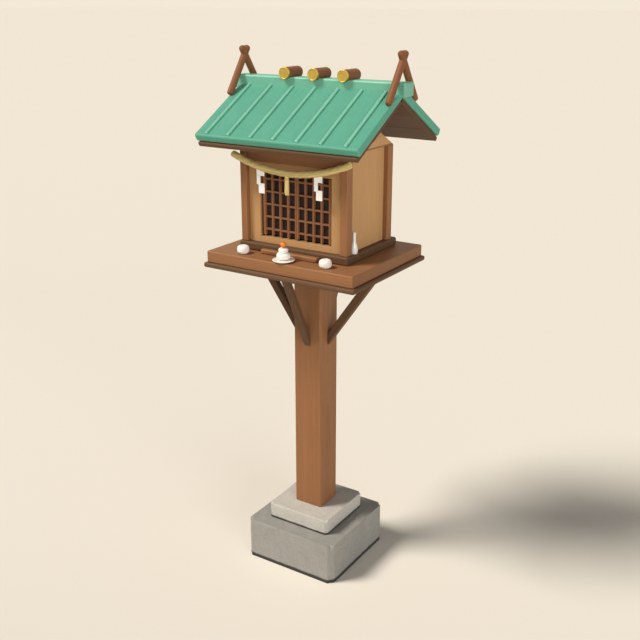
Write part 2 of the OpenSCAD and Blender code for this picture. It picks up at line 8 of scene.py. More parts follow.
import bmesh
import bpy
from mathutils import Matrix, Vector, noise


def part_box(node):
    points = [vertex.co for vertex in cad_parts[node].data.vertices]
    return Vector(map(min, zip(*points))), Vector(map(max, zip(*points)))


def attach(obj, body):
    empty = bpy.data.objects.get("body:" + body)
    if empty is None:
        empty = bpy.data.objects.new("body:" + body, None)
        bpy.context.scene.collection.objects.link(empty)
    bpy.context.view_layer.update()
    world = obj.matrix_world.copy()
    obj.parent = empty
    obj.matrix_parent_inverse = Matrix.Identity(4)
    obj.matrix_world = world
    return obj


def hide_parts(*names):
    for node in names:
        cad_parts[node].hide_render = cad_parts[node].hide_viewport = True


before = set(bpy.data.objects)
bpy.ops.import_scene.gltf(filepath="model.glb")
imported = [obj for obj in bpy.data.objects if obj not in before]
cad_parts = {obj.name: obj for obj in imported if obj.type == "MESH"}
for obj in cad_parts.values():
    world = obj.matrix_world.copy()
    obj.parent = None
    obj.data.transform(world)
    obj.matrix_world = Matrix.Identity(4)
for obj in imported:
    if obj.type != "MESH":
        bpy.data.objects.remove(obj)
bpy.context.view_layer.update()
scene = bpy.context.scene
rng = random.Random(7)

# ---- Sizes of the roof, the lattice and the rope ----
# They are those of the part's source, in metres, apart from the seams' two ends.

ROOF_PITCH = math.radians(29.7)
ROOF_SLOPE = 0.2975
SHEET_T = 0.0265
ROOF_BOARD_T = 0.0155
ROOF_BOARD_GAP = 0.0002
SEAM_COUNT = 7
SEAM_PITCH = 0.086
SEAM_W = 0.010
SEAM_H = 0.0065
# From a seam's lower end to the eave's edge, 6 mm less than in the source
SEAM_END = 0.007
# How far a seam runs on under the ridge cap, past its upper end in the source
SEAM_TUCK = 0.010
CAP_D = 0.058
CAP_COVER = 0.016
CROSSED_LOG_R = 0.0115
CROSSED_LOG_X = 0.298
CROSSED_LOG_PASS = 0.017
CROSSED_LOG_RISE = 0.105
CROSSED_LOG_GAP = 0.0015
RIDGE_LOG_R = 0.0195
RIDGE_LOG_LENGTH = 0.088
RIDGE_LOG_PITCH = 0.1105
RIDGE_LOG_SEAT = 0.008
END_CAP_T = 0.008
HANGING_STILE_W = 0.009
MEETING_STILE_W = 0.0055
BAR_W = 0.006
UPRIGHT_COUNT = 3
LEVEL_COUNT = 5
LEVEL_PITCH = 0.0418
ROPE_R = 0.0115

# The rope's route, from its left end to its right end
ROPE_Y = -0.1549
ROPE_POINTS = [(-0.220, 1.483), (-0.208, 1.4785), (-0.192, 1.4725), (-0.170, 1.465),
               (-0.145, 1.4575), (-0.115, 1.45), (-0.080, 1.4435), (-0.040, 1.439), (0, 1.4375),
               (0.040, 1.439), (0.080, 1.4435), (0.115, 1.45), (0.145, 1.4575),
               (0.170, 1.465), (0.192, 1.4725), (0.210, 1.479), (0.226, 1.4855)]
ROPE_ROUTE = [Vector((x, ROPE_Y, z)) for x, z in ROPE_POINTS]


# ---- Camera, lights and floor ----

def set_camera():
    """A camera that looks down at the front and the right side from 3.2 m away."""
    data = bpy.data.cameras.new("camera")
    data.sensor_width = 36
    data.lens = 51.5
    camera = bpy.data.objects.new("camera", data)
    camera.location = (1.6330, -2.5106, 1.9603)
    aim = Vector((0.0122, 0.0079, 0.9051)) - camera.location
    camera.rotation_euler = aim.to_track_quat("-Z", "Y").to_euler()
    scene.collection.objects.link(camera)
    scene.camera = camera


def add_sun(name, towards, strength, colour, softness):
    """A lamp that shines from the direction towards; softness is its width in degrees."""
    data = bpy.data.lights.new(name, "SUN")
    data.energy = strength
    data.color = colour
    data.angle = math.radians(softness)
    lamp = bpy.data.objects.new(name, data)
    lamp.rotation_euler = Vector(towards).to_track_quat("Z", "Y").to_euler()
    scene.collection.objects.link(lamp)


def set_world(colour, light):
    """A dim even light all round; the camera and reflections see the backdrop's colour."""
    world = bpy.data.worlds.new("studio")
    world.use_nodes = True
    scene.world = world
    nodes, links = world.node_tree.nodes, world.node_tree.links
    output = nodes["World Output"]
    dim = nodes["Background"]
    dim.inputs["Color"].default_value = (*light, 1)
    seen = nodes.new("ShaderNodeBackground")
    seen.inputs["Color"].default_value = (*colour, 1)
    path = nodes.new("ShaderNodeLightPath")
    ray = path.outputs["Is Camera Ray"]
    for kind in ("Is Glossy Ray", "Is Transmission Ray"):
        either = nodes.new("ShaderNodeMath")
        either.operation = "MAXIMUM"
        links.new(ray, either.inputs[0])
        links.new(path.outputs[kind], either.inputs[1])
        ray = either.outputs[0]
    mix = nodes.new("ShaderNodeMixShader")
    links.new(ray, mix.inputs[0])
    links.new(dim.outputs[0], mix.inputs[1])
    links.new(seen.outputs[0], mix.inputs[2])
    links.new(mix.outputs[0], output.inputs["Surface"])


def linear(red, green, blue):
    """A colour given in display values from 0 to 255, as scene-linear values."""
    def channel(value):
        value /= 255
        return value / 12.92 if value <= 0.04045 else ((value + 0.055) / 1.055) ** 2.4
    return channel(red), channel(green), channel(blue)


BACKDROP = linear(243, 233, 214)
FLOOR = linear(239, 232, 220)


# ---- Building materials ----

class Tree:
    """One material's nodes, built with short calls. An input is a value or a socket."""

    def __init__(self, name):
        self.material = bpy.data.materials.new(name)
        self.material.use_nodes = True
        self.nodes = self.material.node_tree.nodes
        self.links = self.material.node_tree.links
        self.shader = self.nodes["Principled BSDF"]

    def add(self, kind, inputs, output=0, **settings):
        made = self.nodes.new("ShaderNode" + kind)
        for name, value in settings.items():
            setattr(made, name, value)
        for key, value in inputs.items():
            self.put(made.inputs[key], value)
        return made.outputs[output]

    def put(self, socket, value):
        if isinstance(value, bpy.types.NodeSocket):
            self.links.new(value, socket)
        elif isinstance(value, tuple) and socket.type == "RGBA":
            socket.default_value = (*value, 1)
        else:
            socket.default_value = value

    def attribute(self, name, output="Vector"):
        return self.add("Attribute", {}, output, attribute_name=name)

    def place(self):
        return self.add("TexCoord", {}, "Object")

    def scaled(self, vector, factors):
        return self.add("VectorMath", {0: vector, 1: factors}, operation="MULTIPLY")

    def length(self, vector):
        return self.add("VectorMath", {0: vector}, "Value", operation="LENGTH")

    def part(self, vector, axis):
        return self.add("SeparateXYZ", {0: vector}, axis)

    def noise(self, vector, scale, detail=3.0, rough=0.55):
        inputs = {"Vector": vector, "Scale": scale, "Detail": detail, "Roughness": rough}
        return self.add("TexNoise", inputs)

    def cells(self, vector, scale, output="Distance", feature="F1"):
        return self.add("TexVoronoi", {"Vector": vector, "Scale": scale}, output, feature=feature)

    def math(self, operation, first, second=0.0):
        return self.add("Math", {0: first, 1: second}, operation=operation)

    def plus(self, first, second):
        return self.math("ADD", first, second)

    def times(self, first, second):
        return self.math("MULTIPLY", first, second)

    def band(self, value, low, high, start=0.0, end=1.0):
        """Brings low..high to start..end, held at both ends."""
        return self.add("MapRange", {0: value, 1: low, 2: high, 3: start, 4: end})

    def blend(self, factor, first, second):
        made = self.nodes.new("ShaderNodeMix")
        made.data_type = "RGBA"
        self.put(made.inputs[0], factor)
        self.put(made.inputs[6], first)
        self.put(made.inputs[7], second)
        return made.outputs[2]

    def surface(self, colour, roughness, height=None, depth=0.0003, **values):
        """Links colour, roughness and relief to the shader; depth is the relief's height."""
        self.put(self.shader.inputs["Base Color"], colour)
        self.put(self.shader.inputs["Roughness"], roughness)
        for key, value in values.items():
            self.put(self.shader.inputs[key.replace("_", " ")], value)
        if height is not None:
            bump = self.add("Bump", {"Height": height, "Distance": depth, "Strength": 1.0})
            self.put(self.shader.inputs["Normal"], bump)
        return self.material


def shade(colour, factor):
    return tuple(min(1.0, channel * factor) for channel in colour)


def wood(name, colour, roughness=0.5, ring=0.0045, contrast=1.0, wear=0.5):
    """Sawn wood with growth rings a distance apart, fibres, rubbed edges and darker end grain; the
    same darkening, set stronger, paints a shadow line on the gable boards.
    """
    tree = Tree(name)
    grain = tree.attribute("grain")
    drift = tree.noise(tree.scaled(grain, (1.6, 18, 18)), 1.0, 2.0)
    radius = tree.length(tree.scaled(grain, (0, 1, 1)))
    phase = tree.plus(tree.math("DIVIDE", radius, ring), tree.times(drift, 4.0))
    late = tree.math("POWER", tree.math("FRACT", phase), 2.2)
    fibre = tree.noise(tree.scaled(grain, (9, 620, 620)), 1.0, 3.0, 0.6)
    streak = tree.noise(tree.scaled(grain, (1.3, 34, 34)), 1.0, 4.0, 0.6)
    broad = tree.noise(tree.scaled(grain, (3.0, 9, 9)), 1.0, 3.0)
    tone = tree.plus(tree.band(streak, 0.3, 0.7, 0.0, 0.42), tree.band(fibre, 0.3, 0.7, 0.0, 0.26))
    tone = tree.plus(tone, tree.times(late, 0.32))
    tone = tree.plus(tone, tree.band(broad, 0.3, 0.7, -0.12, 0.12))
    light = shade(colour, 1 + 0.14 * contrast)
    dark = tuple(channel * (1 - cut * contrast) for channel, cut in zip(colour, (0.26, 0.32, 0.36)))
    base = tree.blend(tone, light, dark)
    rubbed = tree.times(tree.attribute("wear", "Fac"), tree.band(broad, 0.42, 0.62, 0.0, wear))
    base = tree.blend(rubbed, base, shade(colour, 1.34))
    # Darker end grain, and painted shadow where the end value is set high.
    base = tree.blend(tree.times(tree.attribute("end", "Fac"), 0.3), base, shade(dark, 0.5))
    rough = tree.band(fibre, 0.3, 0.7, roughness - 0.07, roughness + 0.1)
    relief = tree.plus(tree.times(fibre, 0.7), tree.times(late, -0.5))
    return tree.surface(base, rough, relief, 0.0004, Specular_IOR_Level=0.2)


def stone(name, colour, foot_z, foot_shade_h):
    """Dressed granite: pale and dark grains, shallow pits, rain stains, and a band of painted shade
    at its foot, where it meets what it stands on; the band starts at the height foot_z and is as
    high as the last argument."""
    tree = Tree(name)
    place = tree.place()
    grains = tree.cells(place, 520.0, "Color")
    fleck = tree.part(grains, "X")
    dark_fleck = tree.band(fleck, 0.80, 0.84)
    pale_fleck = tree.band(tree.part(grains, "Y"), 0.72, 0.76)
    mottle = tree.noise(place, 22.0, 5.0, 0.62)
    stain = tree.noise(tree.scaled(place, (1, 1, 0.45)), 9.0, 4.0, 0.6)
    base = tree.blend(tree.band(mottle, 0.32, 0.68), shade(colour, 1.06), shade(colour, 0.92))
    base = tree.blend(tree.times(pale_fleck, 0.28), base, shade(colour, 1.35))
    base = tree.blend(tree.times(dark_fleck, 0.32), base, shade(colour, 0.5))
    base = tree.blend(tree.band(stain, 0.52, 0.72, 0.0, 0.2), base, shade(colour, 0.72))
    # Painted shade: the lowest band of the stone is darkened almost to black, as the contact shadow
    # under its foot bevel; the band's top edge wavers with the mottle.
    height = tree.math("SUBTRACT", tree.part(place, "Z"), foot_z)
    shade_line_height = tree.math("SUBTRACT", height, tree.band(mottle, 0.3, 0.7, 0.0, 0.003))
    base = tree.blend(tree.band(shade_line_height, foot_shade_h * 0.6, foot_shade_h, 0.96, 0.0), base, shade(colour, 0.05))
    pits = tree.noise(place, 310.0, 3.0, 0.7)
    relief = tree.plus(pits, tree.times(mottle, 1.2))
    rough = tree.band(pits, 0.3, 0.7, 0.78, 0.94)
    return tree.surface(base, rough, relief, 0.0008)


def roof_metal(name, colour, edge, wear, shine):
    """Matt verdigris sheet metal: each bay a little different, with rain runs, folds that are rubbed
    and also lightened as a painted highlight, and painted shade along the +x side of each seam."""
    tree = Tree(name)
    grain = tree.attribute("grain")
    bay = tree.math("FLOOR", tree.math("DIVIDE", tree.part(grain, "Y"), SEAM_PITCH))
    bay_tone = tree.add("TexWhiteNoise", {"W": bay}, "Value", noise_dimensions="1D")
    patch = tree.noise(grain, 13.0, 5.0, 0.6)
    runs = tree.noise(tree.scaled(grain, (3.5, 95, 95)), 1.0, 4.0, 0.6)
    speck = tree.noise(grain, 260.0, 3.0, 0.65)
    base = tree.blend(tree.band(patch, 0.3, 0.7), shade(colour, 0.96), shade(colour, 1.04))
    base = tree.blend(tree.times(bay_tone, 0.2), base, shade(colour, 0.93))
    base = tree.blend(tree.band(runs, 0.50, 0.78, 0.0, 0.16), base, edge)
    base = tree.blend(tree.band(speck, 0.60, 0.76, 0.0, 0.14), base, shade(colour, 0.76))
    # Wear and painted highlight: marked edges are lightened towards the edge colour, partly as rubbing
    # and partly standing in for the highlight where the bevels catch the light.
    wear_and_highlight = tree.times(tree.attribute("wear", "Fac"), tree.band(patch, 0.35, 0.6, wear / 2, wear))
    base = tree.blend(wear_and_highlight, base, edge)
    # Painted shade: the seams' +x sides, marked with the end value, are darkened as the side turned away
    # from the light.
    base = tree.blend(tree.times(tree.attribute("end", "Fac"), 0.6), base, shade(colour, 0.35))
    rough = tree.band(speck, 0.3, 0.7, 0.40, 0.54)
    relief = tree.plus(tree.times(speck, 0.3), tree.times(patch, 1.5))
    return tree.surface(base, rough, relief, 0.0006, Specular_IOR_Level=shine)


def gilt(name, colour):
    """Gilt metal, tarnished in patches, with faint dents and scratches."""
    tree = Tree(name)
    place = tree.place()
    tarnish = tree.noise(place, 85.0, 5.0, 0.65)
    dents = tree.cells(place, 330.0, feature="SMOOTH_F1")
    scratch = tree.noise(tree.scaled(place, (900, 60, 240)), 1.0, 2.0)
    base = tree.blend(tree.band(tarnish, 0.46, 0.70, 0.0, 0.6), colour, shade(colour, 0.62))
    rough = tree.plus(tree.band(tarnish, 0.3, 0.7, 0.30, 0.50), tree.band(scratch, 0.55, 0.7, 0.0, 0.1))
    return tree.surface(base, rough, dents, 0.0006, Metallic=0.85)


def straw(name, colour):
    """Dry rice straw; the fibres run along the strand and loose straws are bleached."""
    tree = Tree(name)
    grain = tree.attribute("grain")
    fibre = tree.noise(tree.scaled(grain, (38, 900, 900)), 1.0, 3.0, 0.6)
    stalk = tree.noise(tree.scaled(grain, (9, 320, 320)), 1.0, 2.0, 0.5)
    base = tree.blend(tree.band(stalk, 0.36, 0.64), shade(colour, 0.74), shade(colour, 1.16))
    base = tree.blend(tree.band(fibre, 0.52, 0.74, 0.0, 0.4), base, shade(colour, 0.58))
    base = tree.blend(tree.times(tree.attribute("wear", "Fac"), 0.6), base, shade(colour, 1.5))
    rough = tree.band(fibre, 0.3, 0.7, 0.55, 0.78)
    relief = tree.plus(fibre, tree.times(stalk, 1.5))
    return tree.surface(base, rough, relief, 0.0012)


def paper(name, colour):
    """Handmade paper with pulp and a few threads in it."""
    tree = Tree(name)
    place = tree.place()
    pulp = tree.noise(place, 420.0, 4.0, 0.7)
    thread = tree.noise(tree.scaled(place, (60, 400, 900)), 1.0, 2.0)
    base = tree.blend(tree.band(pulp, 0.3, 0.7), shade(colour, 0.96), colour)
    base = tree.blend(tree.band(thread, 0.62, 0.74, 0.0, 0.3), base, shade(colour, 0.88))
    rough = tree.band(pulp, 0.3, 0.7, 0.78, 0.92)
    return tree.surface(base, rough, tree.plus(pulp, thread), 0.00025)


def glazed(name, colour):
    """Glossy glaze that pools a little, with a few specks."""
    tree = Tree(name)
    place = tree.place()
    pool = tree.noise(place, 60.0, 3.0)
    speck = tree.cells(place, 260.0)
    base = tree.blend(tree.band(pool, 0.3, 0.7), shade(colour, 0.96), colour)
    base = tree.blend(tree.band(speck, 0.05, 0.09, 0.35, 0.0), base, shade(colour, 0.7))
    rough = tree.band(pool, 0.3, 0.7, 0.14, 0.26)
    return tree.surface(base, rough, pool, 0.0008, Coat_Weight=0.4, Coat_Roughness=0.08)


def dusted(name, colour):
    """Pounded rice with starch flour on it."""
    tree = Tree(name)
    place = tree.place()
    flour = tree.noise(place, 420.0, 4.0, 0.7)
    lump = tree.noise(place, 70.0, 3.0)
    base = tree.blend(tree.band(lump, 0.3, 0.7), shade(colour, 0.95), colour)
    base = tree.blend(tree.band(flour, 0.50, 0.66, 0.0, 0.5), base, shade(colour, 1.05))
    rough = tree.band(flour, 0.3, 0.7, 0.62, 0.88)
    relief = tree.plus(flour, tree.times(lump, 3.0))
    return tree.surface(base, rough, relief, 0.0005, Subsurface_Weight=0.15, Subsurface_Scale=0.004)


def peel(name, colour):
    """Citrus peel with pores and a redder blush."""
    tree = Tree(name)
    place = tree.place()
    pores = tree.cells(place, 900.0, feature="SMOOTH_F1")
    blush = tree.noise(place, 120.0, 3.0)
    red, green, blue = colour
    base = tree.blend(tree.band(blush, 0.35, 0.65), colour, (red, green * 0.74, blue * 0.6))
    base = tree.blend(tree.band(pores, 0.0, 0.25, 0.35, 0.0), base, shade(colour, 0.62))
    rough = tree.band(pores, 0.0, 0.6, 0.5, 0.34)
    return tree.surface(base, rough, pores, 0.0006, Subsurface_Weight=0.1, Subsurface_Scale=0.002)


def floor_finish():
    """A pale even floor, with painted shade that makes it a little darker towards the front."""
    tree = Tree("studio_floor")
    place = tree.place()
    tone = tree.noise(place, 0.6, 2.0)
    colour = tree.blend(tree.band(tone, 0.3, 0.7), shade(FLOOR, 0.995), FLOOR)
    front_shade_nearness = tree.add("VectorMath", {0: place, 1: (0.4, -0.92, 0.0)}, "Value", operation="DOT_PRODUCT")
    # Painted shade: up to 7 percent darker towards the front.
    colour = tree.blend(tree.band(front_shade_nearness, 0.0, 1.3, 0.0, 1.0), colour, shade(FLOOR, 0.93))
    return tree.surface(colour, 0.95, Specular_IOR_Level=0.0)


# Each material slot's kind of surface, its colour in display values, and its settings
FINISHES = {
    "weathered_stone": (stone, (151, 148, 142), dict(foot_z=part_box("lower_stone")[0].z, foot_shade_h=0.015)),
    "pale_stone": (stone, (194, 189, 180), dict(foot_z=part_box("upper_stone")[0].z, foot_shade_h=0.008)),
    "post_cedar": (wood, (147, 102, 67), dict(contrast=0.75, wear=0.35)),
    "slab_cedar": (wood, (149, 104, 69), dict(contrast=0.7, wear=0.35)),
    "dark_timber": (wood, (100, 73, 51), dict(roughness=0.58, ring=0.004, contrast=0.8, wear=0.22)),
    "pale_cypress": (wood, (190, 147, 99), dict(roughness=0.52, ring=0.0035, contrast=0.42, wear=0.3)),
    "lattice_wood": (wood, (145, 99, 68), dict(ring=0.003, contrast=0.8)),
    # Near black: painted shade, for the dark inside seen through the door lattice.
    "black_stained_wood": (wood, (50, 37, 33), dict(roughness=0.6, ring=0.004, wear=0.2)),
    "bark_brown_log": (wood, (134, 88, 57), dict(roughness=0.55, ring=0.003, contrast=0.85, wear=0.4)),
    # Each roof finish's edge colour lightens rain runs and the marked folds; on the folds it is both
    # rubbing and painted highlight, strongest on the cap and seams.
    "green_roof": (roof_metal, (91, 161, 138), dict(edge=linear(118, 190, 163), wear=0.12, shine=0.12)),
    "pale_green_roof": (roof_metal, (110, 178, 153),
                        dict(edge=linear(148, 223, 190), wear=0.4, shine=0.45)),
    "gilt_metal": (gilt, (208, 177, 87), {}),
    "rice_straw": (straw, (219, 195, 127), {}),
    "white_paper": (paper, (254, 253, 248), {}),
    "white_ceramic": (glazed, (247, 245, 238), {}),
    "rice_cake": (dusted, (248, 245, 237), {}),
    "orange_peel": (peel, (233, 130, 40), {}),
}
MATERIALS = {name: kind(name, linear(*colour), **settings)
             for name, (kind, colour, settings) in FINISHES.items()}


# ---- Building meshes ----

def new_shape():
    """An empty shape with the three layers that the materials read."""
    shape = bmesh.new()
    shape.verts.layers.float_vector.new("grain")
    shape.faces.layers.float.new("wear")
    shape.faces.layers.float.new("end")
    return shape


def axes_for(along):
    """Directions along the grain, across it and in depth."""
    along = Vector(along).normalized()
    helper = Vector((0, 0, 1)) if abs(along.z) < 0.9 else Vector((1, 0, 0))
    across = helper.cross(along).normalized()
    return along, across, along.cross(across)


def set_grain(shape, along, pith=0.09):
    """Writes each vertex's place in the trunk; pith is the trunk's middle's distance away."""
    layer = shape.verts.layers.float_vector["grain"]
    axes = axes_for(along)
    middle = sum((vert.co for vert in shape.verts), Vector()) / len(shape.verts)
    turn = rng.uniform(0, math.tau)
    shift = Vector((rng.uniform(-5, 5), pith * math.cos(turn), pith * math.sin(turn)))
    for vert in shape.verts:
        offset = vert.co - middle
        vert[layer] = Vector([offset.dot(axis) for axis in axes]) + shift
    end = shape.faces.layers.float["end"]
    shape.normal_update()
    for face in shape.faces:
        face[end] = 1.0 if abs(face.normal.dot(axes[0])) > 0.7 else 0.0


def soften(shape, width, segments=3):
    """Rounds the edges sharper than 30 degrees, and marks them for wear; on roof metal the mark also
    paints a highlight.
    """
    sharp = math.radians(30)
    wear = shape.faces.layers.float["wear"]
    edges = [edge for edge in shape.edges if edge.is_manifold and edge.calc_face_angle() > sharp]
    made = bmesh.ops.bevel(shape, geom=edges, offset=width, segments=segments,
                           profile=0.5, affect="EDGES", clamp_overlap=True)
    for face in made["faces"]:
        face[wear] = 1.0


def block(low, high):
    shape = new_shape()
    bmesh.ops.create_cube(shape, size=1)
    low, high = Vector(low), Vector(high)
    for vert in shape.verts:
        for axis in range(3):
            vert.co[axis] = high[axis] if vert.co[axis] > 0 else low[axis]
    return shape


def board(low, high, along, bevel, segments=2, pith=0.09):
    """A plank between two corners, with eased edges and its grain along a direction."""
    shape = block(low, high)
    soften(shape, bevel, segments)
    set_grain(shape, along, pith)
    return shape


def cad_shape(node):
    """A clean copy of a CAD node's mesh, with its flat faces joined."""
    shape = new_shape()
    shape.from_mesh(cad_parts[node].data)
    bmesh.ops.remove_doubles(shape, verts=shape.verts, dist=1e-6)
    bmesh.ops.dissolve_limit(shape, angle_limit=math.radians(1), verts=shape.verts, edges=shape.edges)
    return shape


def extruded(profile, x0, x1):
    """A profile of (y, z) points drawn out along X."""
    shape = new_shape()
    rings = [[shape.verts.new((x, y, z)) for y, z in profile] for x in (x0, x1)]
    count = len(profile)
    for i in range(count):
        j = (i + 1) % count
        shape.faces.new((rings[0][i], rings[0][j], rings[1][j], rings[1][i]))
    shape.faces.new(reversed(rings[0]))
    shape.faces.new(rings[1])
    bmesh.ops.recalc_face_normals(shape, faces=shape.faces)
    return shape


def lathe(profile, sides=48, centre=(0, 0, 0)):
    """A turned shape from (radius, height) points; a radius of 0 closes it."""
    shape = new_shape()
    grain = shape.verts.layers.float_vector["grain"]
    rings = []
    for radius, height in profile:
        if radius == 0:
            rings.append([shape.verts.new((0, 0, height))])
        else:
            rings.append([shape.verts.new((radius * math.cos(math.tau * k / sides),
                                           radius * math.sin(math.tau * k / sides), height))
                          for k in range(sides)])
    for low, high in zip(rings, rings[1:]):
        for k in range(sides):
            n = (k + 1) % sides
            corners = [low[k % len(low)], low[n % len(low)], high[n % len(high)], high[k % len(high)]]
            shape.faces.new(list(dict.fromkeys(corners)))
    for vert in shape.verts:
        vert[grain] = vert.co
    bmesh.ops.recalc_face_normals(shape, faces=shape.faces)
    bmesh.ops.translate(shape, verts=shape.verts, vec=centre)
    return shape


def smooth_route(points, steps):
    """More points on a smooth curve through the given ones."""
    padded = [2 * points[0] - points[1], *points, 2 * points[-1] - points[-2]]
    route = []
    for a, b, c, d in zip(padded, padded[1:], padded[2:], padded[3:]):
        for k in range(steps):
            t = k / steps
            route.append(0.5 * (2 * b + (c - a) * t + (2 * a - 5 * b + 4 * c - d) * t * t
                                + (3 * b - a - 3 * c + d) * t ** 3))
    return [*route, points[-1]]


def tube(route, radius, sides=8, side=Vector((0, 1, 0)), shape=None):
    """A closed tube along a route, added to a shape or made as a new one; radius is a function
    of the distance and the angle, and side is roughly square to the route."""
    shape = shape or new_shape()
    grain = shape.verts.layers.float_vector["grain"]
    rings, distance = [], 0.0
    offset = rng.uniform(0, 5)
    for i, point in enumerate(route):
        way = (route[min(i + 1, len(route) - 1)] - route[max(i - 1, 0)]).normalized()
        up = way.cross(side).normalized()
        out = up.cross(way)
        if i:
            distance += (point - route[i - 1]).length
        ring = []
        for k in range(sides):
            angle = math.tau * k / sides
            reach = radius(distance, angle)
            vert = shape.verts.new(point + reach * (math.cos(angle) * up + math.sin(angle) * out))
            vert[grain] = (distance + offset, reach * math.cos(angle), reach * math.sin(angle))
            ring.append(vert)
        rings.append(ring)
    for low, high in zip(rings, rings[1:]):
        for k in range(sides):
            n = (k + 1) % sides
            shape.faces.new((low[k], low[n], high[n], high[k]))
    shape.faces.new(reversed(rings[0]))
    shape.faces.new(rings[-1])
    return shape


def joined(shapes):
    """Several shapes as one."""
    whole = new_shape()
    for shape in shapes:
        mesh = bpy.data.meshes.new("part")
        shape.to_mesh(mesh)
        shape.free()
        whole.from_mesh(mesh)
        bpy.data.meshes.remove(mesh)
    return whole


def moved(shape, matrix):
    bmesh.ops.transform(shape, matrix=matrix, verts=shape.verts)
    return shape


def mirrored(shape):
    """The same shape on the other side of x = 0."""
    bmesh.ops.scale(shape, vec=(-1, 1, 1), verts=shape.verts)
    bmesh.ops.reverse_faces(shape, faces=shape.faces)
    return shape


def modified(shape, *modifiers):
    """The shape after Blender's modifiers, each given as (kind, settings)."""
    mesh = bpy.data.meshes.new("work")
    bmesh.ops.recalc_face_normals(shape, faces=shape.faces)
    shape.to_mesh(mesh)
    shape.free()
    obj = bpy.data.objects.new("work", mesh)
    scene.collection.objects.link(obj)
    for kind, settings in modifiers:
        modifier = obj.modifiers.new(kind.lower(), kind)
        for name, value in settings.items():
            setattr(modifier, name, value)
    graph = bpy.context.evaluated_depsgraph_get()
    result = bpy.data.meshes.new_from_object(obj.evaluated_get(graph))
    shape = new_shape()
    shape.from_mesh(result)
    bpy.data.objects.remove(obj)
    bpy.data.meshes.remove(result)
    return shape


def roughen(shape, depth, size):
    """Moves each point in by up to a depth, in waves of a size."""
    shape.normal_update()
    moves = [(vert, vert.normal * -depth * (0.5 + 0.5 * noise.fractal(vert.co / size, 1.0, 2.0, 3)))
             for vert in shape.verts]
    for vert, move in moves:
        vert.co += move


def piece(name, shape, material, nodes=(), body="root", sharp=40):
    """Makes a shape into a visible piece that rides on a body and stands for CAD nodes."""
    mesh = bpy.data.meshes.new(name)
    shape.to_mesh(mesh)
    shape.free()
    mesh.materials.append(MATERIALS[material])
    mesh.shade_smooth()
    mesh.set_sharp_from_angle(angle=math.radians(sharp))
    obj = bpy.data.objects.new(name, mesh)
    scene.collection.objects.link(obj)
    normals = obj.modifiers.new("normals", "WEIGHTED_NORMAL")
    normals.keep_sharp = True
    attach(obj, body)
    if nodes:
        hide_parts(*nodes)
    return obj


# ---- Rope, tassel and streamers ----

def route_length(route):
    return sum((b - a).length for a, b in zip(route, route[1:]))


def straws(foot, way, count, spread, length, radius):
    """A tuft of straws from round a point, each bent a little its own way."""
    shape = new_shape()
    way = Vector(way).normalized()
    up, out = axes_for(way)[1:]
    for i in range(count):
        reach = spread * math.sqrt((i + 0.5) / count)
        angle = i * math.radians(137.5)
        side = up * math.cos(angle) + out * math.sin(angle)
        start = foot + side * reach
        tip = length * rng.uniform(0.86, 1.0)
        bend = side * rng.uniform(0.0, 0.1) * reach + up * rng.uniform(-1, 1) * radius
        points = [start, start + way * tip * 0.5 + bend * 0.4, start + way * tip + bend]
        thin = radius * rng.uniform(0.75, 1.0)
        tube(smooth_route(points, 4), lambda d, a, r=thin: r, 6, out, shape)
    wear = shape.faces.layers.float["wear"]
    for face in shape.faces:
        face[wear] = 1.0
    return shape


def make_rope():
    """The twisted rope, the straws that stick out of its ends, and the bound tassel."""
    # The length in which a strand goes once round
    twist = 0.105
    strands = 3
    lay_r = 0.0016
    strand_r = ROPE_R - lay_r
    route = smooth_route(ROPE_ROUTE, 16)
    whole = route_length(route)

    def strand_surface(distance, angle):
        """Three strands laid round each other, with single stalks standing proud."""
        reach = 0.0
        for i in range(strands):
            turn = angle - math.tau * (i / strands + distance / twist)
            away = lay_r * math.sin(turn)
            reach = max(reach, lay_r * math.cos(turn) + math.sqrt(strand_r ** 2 - away ** 2))
        spin = angle - math.tau * distance / twist
        stalk = noise.noise(Vector((distance * 22, 9 * math.cos(spin), 9 * math.sin(spin))))
        from_end = min(distance, whole - distance)
        rounding = 0.0015 * max(0.0, 1 - from_end / 0.004) ** 2
        return min(reach, ROPE_R) - 0.0003 + 0.0003 * stalk - rounding

    rope = piece("straw_rope_twisted", tube(route, strand_surface, 48), "rice_straw",
                 ["straw_rope"], sharp=60)
    tufts = []
    for end, inward in ((ROPE_ROUTE[0], ROPE_ROUTE[1]), (ROPE_ROUTE[-1], ROPE_ROUTE[-2])):
        way = (end - inward).normalized()
        tufts.append(straws(end - way * 0.004, way, 70, 0.0078, 0.0056, 0.0009))
    ends = piece("straw_rope_ends", joined(tufts), "rice_straw", sharp=60)

    low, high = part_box("rope_tassel")
    middle = (low + high) / 2
    top = Vector((middle.x, middle.y, high.z))
    straw_r = 0.0011
    tassel = straws(top, (0, 0, -1), 80, 0.0056, high.z - low.z, straw_r)
    binding = []
    binding_r = 0.0064
    first_z = ROPE_ROUTE[len(ROPE_ROUTE) // 2].z - ROPE_R - 0.004
    for turn in range(3):
        height = first_z - 0.0021 * turn
        ring = [Vector((middle.x + binding_r * math.cos(math.tau * k / 24),
                        middle.y + binding_r * math.sin(math.tau * k / 24), height)) for k in range(25)]
        binding.append(tube(ring, lambda d, a: straw_r, 6, Vector((0, 0, 1))))
    bundle = joined([tassel, *binding])
    tassel = piece("rope_tassel_bundle", bundle, "rice_straw", ["rope_tassel"], sharp=60)
    return rope, ends, tassel


